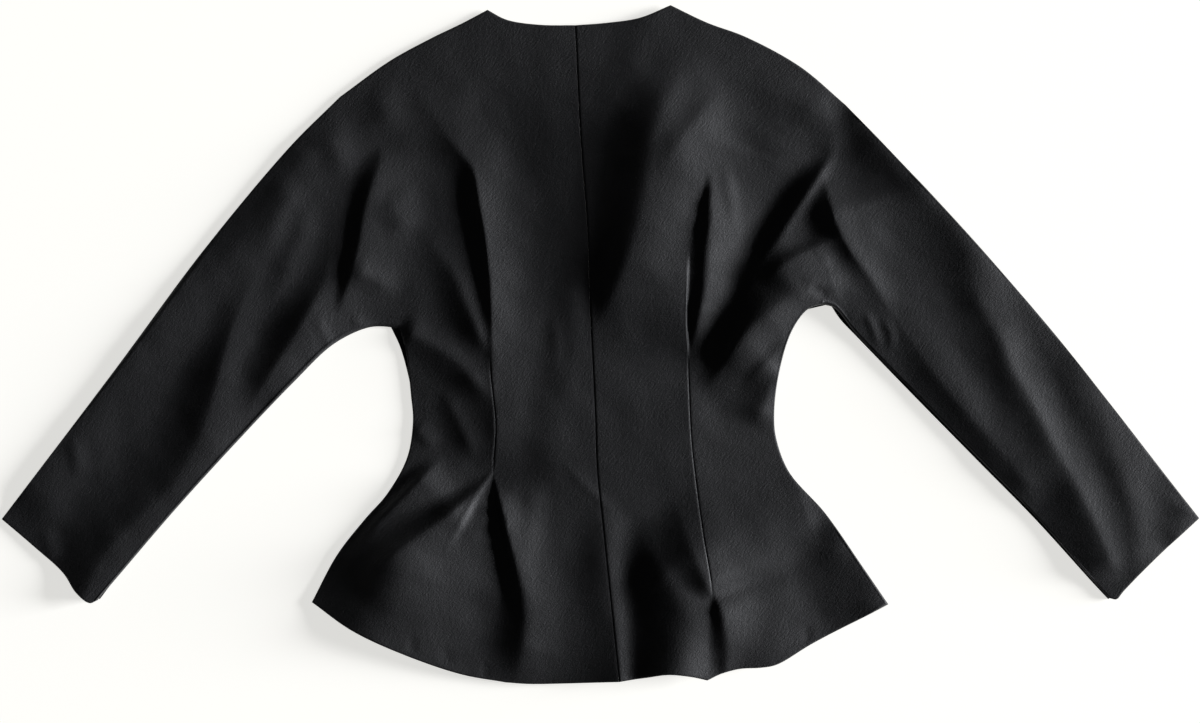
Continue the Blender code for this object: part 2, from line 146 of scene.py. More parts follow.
def spaced(length, step, fine_start, fine_end):
    """Shares of a length in millimetres, evenly spaced but closer and closer towards the fine ends."""
    fine = np.cumsum(FINE_STEPS)
    start = fine if fine_start else np.array(())
    end = length - fine[::-1] if fine_end else np.array(())
    low = start[-1] if fine_start else 0.0
    high = end[0] if fine_end else length
    even = np.linspace(low, high, max(2, round((high - low) / step)) + 1)
    places = np.concatenate(((0.0,), start[:-1], even if fine_start else even[1:],
                             end[1:], (length,) if fine_end else ()))
    return places / length


def guide(low, high, low_shares, high_shares):
    """A line from the hem to the shoulder, with one point for each row of sections."""
    return np.vstack((along(smooth_line(low), low_shares), along(smooth_line(high), high_shares)[1:]))


def joined_rows(low_shares, high_shares, below, above):
    """The rows below and above the waist, as shares of the whole height."""
    return np.concatenate((low_shares * below, below + high_shares[1:] * above)) / (below + above)


def patch(inner, outer, foot, head, across, rows):
    """A grid of points, row by row, between four edge lines that meet at their ends."""
    u = np.asarray(across)[None, :, None]
    v = np.asarray(rows)[:, None, None]
    between_sides = (1 - u) * inner[:, None, :] + u * outer[:, None, :]
    between_ends = (1 - v) * foot[None, :, :] + v * head[None, :, :]
    corners = ((1 - u) * (1 - v) * foot[0] + u * (1 - v) * foot[-1]
               + (1 - u) * v * head[0] + u * v * head[-1])
    return between_sides + between_ends - corners


def smooth_step(value):
    """Rises softly from 0 to 1 as the value does."""
    clipped = np.clip(value, 0, 1)
    return clipped * clipped * (3 - 2 * clipped)


def distance_to(line, points, at_once=4000):
    """How far each point is from a polyline, where along it, and on which side."""
    away = np.empty(len(points))
    share = np.empty(len(points))
    turn = np.empty(len(points))
    start = line[:-1]
    span = np.diff(line, axis=0)
    square = (span * span).sum(axis=1)
    for first in range(0, len(points), at_once):
        part = slice(first, first + at_once)
        offset = points[part, None, :] - start[None, :, :]
        reach = np.clip((offset * span).sum(axis=2) / square, 0, 1)
        gap = np.linalg.norm(offset - reach[:, :, None] * span[None, :, :], axis=2)
        nearest = gap.argmin(axis=1)
        rows = np.arange(len(nearest))
        away[part] = gap[rows, nearest]
        share[part] = (nearest + reach[rows, nearest]) / len(span)
        right, up = offset[rows, nearest].T
        turn[part] = span[nearest, 0] * up - span[nearest, 1] * right
    return away, share, turn


def button_lift(points):
    """How far the button holds up the cloth that lies over it."""
    away = np.linalg.norm(points - place((BUTTON_PLACE,))[0], axis=1)
    return (BUTTON_THICKNESS + SEAM_GAP) * smooth_step((LIFT_REACH - away) / (LIFT_REACH - LIFT_FLAT))


def lap_lift(points):
    """How far the left front is held up where it lies over the edge of the right front."""
    edge = np.vstack((smooth_line(FRONT_RIGHT["edge_low"]), smooth_line(FRONT_RIGHT["edge_high"])[1:]))
    outside = np.interp(points[:, 1], edge[:, 1], edge[:, 0]) - points[:, 0]
    return (CLOTH + LAYER_GAP) * smooth_step((LAP_MARGIN + LAP_SLOPE - outside) / LAP_SLOPE)


def panel_grid(body, sleeve):
    """The points of a panel and its four-sided faces, from the grids of its body and its sleeve."""
    body_rows, body_columns = body.shape[:2]
    sleeve_rows, sleeve_columns = sleeve.shape[:2]
    body_index = np.arange(body_rows * body_columns).reshape(body_rows, body_columns)
    sleeve_index = np.empty((sleeve_rows, sleeve_columns), dtype=int)
    sleeve_index[:, 0] = body_index[body_rows - sleeve_rows:, -1]
    added = np.arange(sleeve_rows * (sleeve_columns - 1)).reshape(sleeve_rows, -1)
    sleeve_index[:, 1:] = body_index.size + added
    points = np.vstack((body.reshape(-1, 2), sleeve[:, 1:].reshape(-1, 2)))
    faces = []
    for index in (body_index, sleeve_index):
        corners = (index[:-1, :-1], index[:-1, 1:], index[1:, 1:], index[1:, :-1])
        faces.append(np.stack([corner.ravel() for corner in corners], axis=1))
    faces = np.vstack(faces)
    a, b, c = (points[faces[0, corner]] for corner in range(3))
    if (b - a)[0] * (c - a)[1] - (b - a)[1] * (c - a)[0] < 0:
        faces = faces[:, ::-1]
    return points, faces


def steepness(points, heights, faces):
    """The length of cloth over each point for one unit of plan, from the slopes round it."""
    corners = np.column_stack((points, heights))
    first, second, third, fourth = (corners[faces[:, corner]] for corner in range(4))
    normals = np.cross(third - first, fourth - second)
    total = np.zeros_like(corners)
    for corner in range(4):
        np.add.at(total, faces[:, corner], normals)
    return np.linalg.norm(total, axis=1) / total[:, 2]


def add_cloth(name, points, faces, underside, wall, material, lean=0.0):
    """A shell of cloth: an upper side, an underside that may lean across from it, and their rim."""
    count = len(points)
    upper = np.column_stack((points, underside + wall))
    lower = np.column_stack((points[:, 0] + lean, points[:, 1], underside))
    starts = faces.ravel()
    ends = np.roll(faces, -1, axis=1).ravel()
    forward = starts * count + ends
    rim = ~np.isin(forward, ends * count + starts)
    first, second = starts[rim], ends[rim]
    walls = np.stack((second, first, first + count, second + count), axis=1)
    quads = np.vstack((faces, faces[:, ::-1] + count, walls))
    mesh = bpy.data.meshes.new(name)
    mesh.from_pydata(np.vstack((upper, lower)).tolist(), [], quads.tolist())
    mesh.materials.append(material)
    mesh.shade_smooth()
    rim_corners = np.zeros(len(mesh.vertices), dtype=bool)
    rim_corners[np.concatenate((first, first + count))] = True
    ends_of_edge = np.empty(len(mesh.edges) * 2, dtype=np.int32)
    mesh.edges.foreach_get("vertices", ends_of_edge)
    ends_of_edge = ends_of_edge.reshape(-1, 2)
    same_side = (ends_of_edge < count).sum(axis=1) != 1
    on_rim = rim_corners[ends_of_edge].all(axis=1) & same_side
    mesh.edges.foreach_set("use_edge_sharp", on_rim)
    made = bpy.data.objects.new(name, mesh)
    bpy.context.scene.collection.objects.link(made)
    return made


def add_socket(group, name, kind, direction, value=None):
    """One named socket of a node group."""
    socket = group.interface.new_socket(name, in_out=direction, socket_type=kind)
    if value is not None:
        socket.default_value = value


def crepe_group():
    """The grain of the cloth: the height of its threads, its tone, and a few specks of lint."""
    group = bpy.data.node_groups.new("wool_crepe", "ShaderNodeTree")
    add_socket(group, "Grain per metre", "NodeSocketFloat", "INPUT", GRAIN_PER_METRE)
    add_socket(group, "Height", "NodeSocketFloat", "OUTPUT")
    add_socket(group, "Tone", "NodeSocketFloat", "OUTPUT")
    add_socket(group, "Lint", "NodeSocketFloat", "OUTPUT")
    nodes, links = group.nodes, group.links
    given = nodes.new("NodeGroupInput")
    result = nodes.new("NodeGroupOutput")
    place_on_cloth = nodes.new("ShaderNodeTexCoord")

    grain = nodes.new("ShaderNodeTexNoise")
    grain.inputs["Detail"].default_value = 3.0
    grain.inputs["Roughness"].default_value = 0.7
    links.new(place_on_cloth.outputs["Object"], grain.inputs["Vector"])
    links.new(given.outputs["Grain per metre"], grain.inputs["Scale"])

    along_warp = nodes.new("ShaderNodeMapping")
    along_warp.vector_type = "TEXTURE"
    along_warp.inputs["Rotation"].default_value = (0, 0, -math.pi / 4)
    along_warp.inputs["Scale"].default_value = (1, WARP_STRETCH, 1)
    links.new(place_on_cloth.outputs["Object"], along_warp.inputs["Vector"])
    warp = nodes.new("ShaderNodeTexNoise")
    warp.inputs["Scale"].default_value = WARP_PER_METRE
    warp.inputs["Detail"].default_value = 2.0
    links.new(along_warp.outputs["Vector"], warp.inputs["Vector"])

    threads = nodes.new("ShaderNodeMath")
    threads.operation = "MULTIPLY_ADD"
    threads.inputs[1].default_value = WARP_SHARE
    links.new(warp.outputs["Fac"], threads.inputs[0])
    links.new(grain.outputs["Fac"], threads.inputs[2])
    links.new(threads.outputs["Value"], result.inputs["Height"])

    wear = nodes.new("ShaderNodeTexNoise")
    wear.inputs["Scale"].default_value = WEAR_PER_METRE
    wear.inputs["Detail"].default_value = 4.0
    links.new(place_on_cloth.outputs["Object"], wear.inputs["Vector"])
    tone = nodes.new("ShaderNodeMath")
    tone.operation = "MULTIPLY_ADD"
    tone.inputs[1].default_value = WEAR_SHARE
    links.new(wear.outputs["Fac"], tone.inputs[0])
    grain_tone = nodes.new("ShaderNodeMath")
    grain_tone.operation = "MULTIPLY"
    grain_tone.inputs[1].default_value = GRAIN_SHARE
    links.new(grain.outputs["Fac"], grain_tone.inputs[0])
    links.new(grain_tone.outputs["Value"], tone.inputs[2])
    links.new(tone.outputs["Value"], result.inputs["Tone"])

    specks = nodes.new("ShaderNodeTexVoronoi")
    specks.inputs["Scale"].default_value = LINT_PER_METRE
    links.new(place_on_cloth.outputs["Object"], specks.inputs["Vector"])
    lint = nodes.new("ShaderNodeMapRange")
    lint.inputs["From Min"].default_value = LINT_SIZE[0]
    lint.inputs["From Max"].default_value = LINT_SIZE[1]
    links.new(specks.outputs["Distance"], lint.inputs["Value"])
    links.new(lint.outputs["Result"], result.inputs["Lint"])
    return group


def suiting(name):
    """Black wool crepe: matt in its grain, with a low sheen on slopes that face the light."""
    material = bpy.data.materials.new(name)
    material.use_nodes = True
    nodes, links = material.node_tree.nodes, material.node_tree.links
    shader = nodes["Principled BSDF"]
    crepe = nodes.new("ShaderNodeGroup")
    crepe.node_tree = crepe_group()
    colour = nodes.new("ShaderNodeValToRGB")
    colour.color_ramp.elements[0].position = 0.3
    colour.color_ramp.elements[0].color = CREPE_DARK
    colour.color_ramp.elements[1].position = 0.7
    colour.color_ramp.elements[1].color = CREPE_LIGHT
    links.new(crepe.outputs["Tone"], colour.inputs["Fac"])
    with_lint = nodes.new("ShaderNodeMix")
    with_lint.data_type = "RGBA"
    with_lint.inputs["B"].default_value = LINT_COLOUR
    links.new(crepe.outputs["Lint"], with_lint.inputs["Factor"])
    links.new(colour.outputs["Color"], with_lint.inputs["A"])
    links.new(with_lint.outputs["Result"], shader.inputs["Base Color"])
    roughness = nodes.new("ShaderNodeMapRange")
    roughness.inputs["To Min"].default_value = CREPE_ROUGHNESS[0]
    roughness.inputs["To Max"].default_value = CREPE_ROUGHNESS[1]
    links.new(crepe.outputs["Tone"], roughness.inputs["Value"])
    links.new(roughness.outputs["Result"], shader.inputs["Roughness"])
    bump = nodes.new("ShaderNodeBump")
    bump.inputs["Strength"].default_value = 0.8
    bump.inputs["Distance"].default_value = GRAIN_DEPTH
    links.new(crepe.outputs["Height"], bump.inputs["Height"])
    links.new(bump.outputs["Normal"], shader.inputs["Normal"])
    shader.inputs["Specular IOR Level"].default_value = 0.45
    shader.inputs["Specular Tint"].default_value = CREPE_SHEEN
    return material


def build_front(name, edges, lapped_over, material):
    """One half of the front with its sleeve, flat on the floor but for the lap and the button."""
    low_shares = spaced(FRONT_BELOW_WAIST, FRONT_STEP, False, False)
    high_shares = spaced(FRONT_ABOVE_WAIST, FRONT_STEP, False, False)
    rows = joined_rows(low_shares, high_shares, FRONT_BELOW_WAIST, FRONT_ABOVE_WAIST)
    across = spaced(FRONT_ACROSS, FRONT_STEP, True, True)
    edge = guide(edges["edge_low"], edges["edge_high"], low_shares, high_shares)
    side = guide(edges["side"], edges["sleeve_line"], low_shares, high_shares)
    foot = along(smooth_line(edges["hem"]), across)
    head = along(smooth_line(edges["shoulder"]), across)
    body = patch(edge, side, foot, head, across, rows)
    sections = spaced(FRONT_SLEEVE, FRONT_STEP, False, True)
    underarm = along(smooth_line(edges["underarm"]), sections)
    overarm = along(smooth_line(edges["overarm"]), sections)
    cuff = along(smooth_line(edges["cuff"]), high_shares)
    sleeve = patch(side[len(low_shares) - 1:], cuff, underarm, overarm, sections, high_shares)
    points, faces = panel_grid(body, sleeve)
    underside = button_lift(points)
    if lapped_over:
        underside = underside + lap_lift(points)
    return add_cloth(name, points, faces, underside, np.full(len(points), CLOTH), material)


cloth = suiting("black_wool_crepe")
front_right = build_front("front_right_cloth", FRONT_RIGHT, False, cloth)
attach(front_right, "root")
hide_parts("front_right")
front_left = build_front("front_left_cloth", FRONT_LEFT, True, cloth)
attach(front_left, "root")
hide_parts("front_left")

# The button
# The one button that closes the fronts: a disc of black resin, turned with a raised rim round a
# dished face and a low boss behind for its thread. It lies face down on the floor under both fronts.
BUTTON_SIDES = 64
# Its section, from the middle of the face round the rim to the middle of the back, in millimetres.
# Columns: out from the middle, up from the floor
BUTTON_SECTION = ((0.0, 0.9), (3.0, 0.88), (5.5, 0.8), (7.4, 0.62), (8.1, 0.3), (8.7, 0.06), (9.4, 0.0),
                  (10.1, 0.1), (10.7, 0.45), (11.0, 1.0), (10.9, 1.6), (10.4, 2.05), (9.4, 2.2),
                  (5.0, 2.3), (4.2, 2.5), (3.4, 2.9), (2.4, 3.0), (0.0, 3.0))
# Its resin: two tones of cloud, the range of its roughness and the depth of its polishing marks, then
# how fine the clouds and the marks are, in waves per metre
RESIN_DARK = (0.006, 0.006, 0.0065, 1)
RESIN_LIGHT = (0.022, 0.02, 0.019, 1)
RESIN_ROUGHNESS = (0.24, 0.46)
MARK_DEPTH = 0.05 * MM
CLOUDS_PER_METRE = 160.0
MARKS_PER_METRE = 2200.0


def turned_button(name, material):
    """A disc made by turning its section about its middle."""
    middle = place((BUTTON_PLACE,))[0]
    angles = np.linspace(0, 2 * math.pi, BUTTON_SIDES, endpoint=False)
    rings = np.array(BUTTON_SECTION[1:-1]) * MM
    vertices = [(*middle, BUTTON_SECTION[0][1] * MM)]
    for out, up in rings:
        vertices += [(middle[0] + out * math.cos(a), middle[1] + out * math.sin(a), up) for a in angles]
    vertices.append((*middle, BUTTON_SECTION[-1][1] * MM))
    last = len(vertices) - 1
    faces = []
    for side in range(BUTTON_SIDES):
        after = (side + 1) % BUTTON_SIDES
        faces.append((0, 1 + after, 1 + side))
        for ring in range(len(rings) - 1):
            low, high = 1 + ring * BUTTON_SIDES, 1 + (ring + 1) * BUTTON_SIDES
            faces.append((low + side, low + after, high + after, high + side))
        top = 1 + (len(rings) - 1) * BUTTON_SIDES
        faces.append((last, top + side, top + after))
    mesh = bpy.data.meshes.new(name)
    mesh.from_pydata(vertices, [], faces)
    mesh.materials.append(material)
    mesh.shade_smooth()
    made = bpy.data.objects.new(name, mesh)
    bpy.context.scene.collection.objects.link(made)
    return made


def black_resin(name):
    """Cast black resin with faint horn-like clouds and fine polishing marks."""
    material = bpy.data.materials.new(name)
    material.use_nodes = True
    nodes, links = material.node_tree.nodes, material.node_tree.links
    shader = nodes["Principled BSDF"]
    place_on_button = nodes.new("ShaderNodeTexCoord")
    clouds = nodes.new("ShaderNodeTexNoise")
    clouds.inputs["Scale"].default_value = CLOUDS_PER_METRE
    clouds.inputs["Detail"].default_value = 5.0
    clouds.inputs["Distortion"].default_value = 1.2
    links.new(place_on_button.outputs["Object"], clouds.inputs["Vector"])
    colour = nodes.new("ShaderNodeValToRGB")
    colour.color_ramp.elements[0].position = 0.35
    colour.color_ramp.elements[0].color = RESIN_DARK
    colour.color_ramp.elements[1].position = 0.75
    colour.color_ramp.elements[1].color = RESIN_LIGHT
    links.new(clouds.outputs["Fac"], colour.inputs["Fac"])
    links.new(colour.outputs["Color"], shader.inputs["Base Color"])
    marks = nodes.new("ShaderNodeTexNoise")
    marks.inputs["Scale"].default_value = MARKS_PER_METRE
    marks.inputs["Detail"].default_value = 2.0
    links.new(place_on_button.outputs["Object"], marks.inputs["Vector"])
    roughness = nodes.new("ShaderNodeMapRange")
    roughness.inputs["To Min"].default_value = RESIN_ROUGHNESS[0]
    roughness.inputs["To Max"].default_value = RESIN_ROUGHNESS[1]
    links.new(marks.outputs["Fac"], roughness.inputs["Value"])
    links.new(roughness.outputs["Result"], shader.inputs["Roughness"])
    bump = nodes.new("ShaderNodeBump")
    bump.inputs["Strength"].default_value = 0.15
    bump.inputs["Distance"].default_value = MARK_DEPTH
    links.new(marks.outputs["Fac"], bump.inputs["Height"])
    links.new(bump.outputs["Normal"], shader.inputs["Normal"])
    return material


button = turned_button("button_disc", black_resin("black_resin"))
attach(button, "root")
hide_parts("button")

# The two halves of the back
# Each is cut in one with the back of its sleeve. They are sewn together at the centre seam, pressed
# towards the right, and to the fronts along the shoulders, overarms, underarms and sides. A tuck
# in each, sewn only round the waist, opens above and below it into the folds of back and skirt.
# The lengths in millimetres that a half's grid is spaced over, and the steps of that grid
BACK_BELOW_WAIST = 372.0
BACK_ABOVE_WAIST = 290.0
BACK_TO_TUCK = 100.0
BACK_TUCK_TO_SIDE = 130.0
BACK_SLEEVE = 555.0
BACK_STEP = 3.0
SLEEVE_STEP = 3.2
# The edges that are sewn to the fronts, to which the cloth falls, and those that are free, where the
# hem, the cuffs and the neck stand open in the folds
SEWN_EDGES = ("side", "underarm", "overarm", "shoulder")
FREE_EDGES = ("hem_inner", "hem_outer", "cuff", "neck")
# How the cloth stands off the fronts, falls to its sewn edges and settles where it lies flat, and how
# many times its own thickness it may measure upright on a slope
LOFT = 1.2 * MM
EDGE_ROUND = 20 * MM
EDGE_DROP = 0.5 * MM
SETTLE = 0.5 * MM
SLOPE_LIMIT = 1.9
# The pressed edges, which are thinner at the very rim
EDGE_RADIUS = 1.6 * MM
RIM_SHARE = 0.3
# The centre seam, open on top and all but closed at its underside, and how soon the lean of its walls
# fades into the panels
SEWN_GAP = 0.5 * MM
CLOSED_GAP = 0.005 * MM
LEAN_FADE = 3.0 * MM
# The sunk lines of the seams, and the share of a tuck line over which its seam starts and ends
TUCK_GROOVE = 0.7 * MM
SEAM_WIDTH = 0.9 * MM
SEWN_FADE = 0.06
# The short straight pieces that stand for each stretch of a line that distances are taken to
EDGE_STEPS = 10
FOLD_STEPS = 8
# The unevenness of the cloth between its folds
PUCKER_SEED = 7
PUCKER_WAVES = 36
PUCKER_LENGTHS = (14 * MM, 60 * MM)
PUCKER_SLOPE = 0.022
# The centre seam below and above the waist, then the edges and the tuck line of each half, the shares
# of the tuck line between which it is sewn, and how deep the centre seam is sunk, in millimetres.
# Columns of the lines: right, down
CENTRE_LOW = ((619, 681), (609, 586), (602, 519), (597, 470), (595, 413), (590, 312))
CENTRE_HIGH = ((590, 312), (587.5, 235), (580, 130), (575, 25.5))
BACK_LEFT = {
    "tuck_low": ((506, 682), (501, 600), (496, 530), (493.5, 470), (496, 425), (491, 372), (490, 312)),
    "tuck_high": ((490, 312), (487, 237), (478, 172), (477, 95), (487.5, 10)),
    "tuck_sewn": (0.49, 0.88),
    "centre_groove": 0.07,
    "hem_inner": ((619, 681), (595, 682), (568, 683), (530, 683.6), (506, 682)),
    "hem_outer": ((506, 682), (462, 674), (407, 655), (351, 629), (312, 602)),
    "side": ((312, 602), (337, 555), (365, 519), (387, 494), (407, 458), (413, 422), (411, 395),
             (406, 352), (400, 329)),
    "neck": ((575, 25.5), (540, 25), (507, 20), (487.5, 10)),
    "shoulder": ((487.5, 10), (462, 23.5), (432, 38), (390, 61), (340, 97)),
    "sleeve_line": ((400, 329), (372, 215), (340, 97)),
    "underarm": ((400, 329), (383, 326.5), (367, 328), (334, 344), (293, 383), (234, 445), (174.5, 510.5),
                 (121, 573), (98, 600)),
    "overarm": ((340, 97), (290, 147), (204, 250), (118, 366), (41, 468), (2, 519)),
    "cuff": ((98, 600), (91, 602.5), (77, 592), (64, 573), (35, 547), (2, 519)),
}
BACK_RIGHT = {
    "tuck_low": ((707, 679.5), (712, 600), (703, 535), (695, 475), (691, 436), (688, 363), (686.5, 304)),
    "tuck_high": ((686.5, 304), (691, 245), (699, 190), (695, 105), (670.5, 5.5)),
    "tuck_sewn": (0.17, 0.87),
    "centre_groove": 0.8,
    "hem_inner": ((619, 681), (645, 677), (668, 673.5), (690, 675.5), (707, 679.5)),
    "hem_outer": ((707, 679.5), (722, 672.5), (740, 668), (760, 667), (776, 664), (812, 643), (888, 604)),
    "side": ((888, 604), (864, 569), (825, 513), (789, 472), (776, 438), (774, 413), (779, 372),
             (792, 330), (808, 309), (822, 304.5)),
    "neck": ((575, 25.5), (607, 23), (640, 18), (670.5, 5.5)),
    "shoulder": ((670.5, 5.5), (707, 23), (745, 37), (800, 67), (845, 105)),
    "sleeve_line": ((822, 304.5), (836, 205), (845, 105)),
    "underarm": ((822, 304.5), (834, 308), (856, 334), (919, 398), (977, 457), (1036, 517), (1094, 582),
                 (1109, 598)),
    "overarm": ((845, 105), (895, 157), (976, 244), (1050, 329), (1109, 403), (1168, 479), (1198.5, 518)),
    "cuff": ((1109, 598), (1116, 599), (1123, 591), (1153, 560), (1198.5, 518)),
}
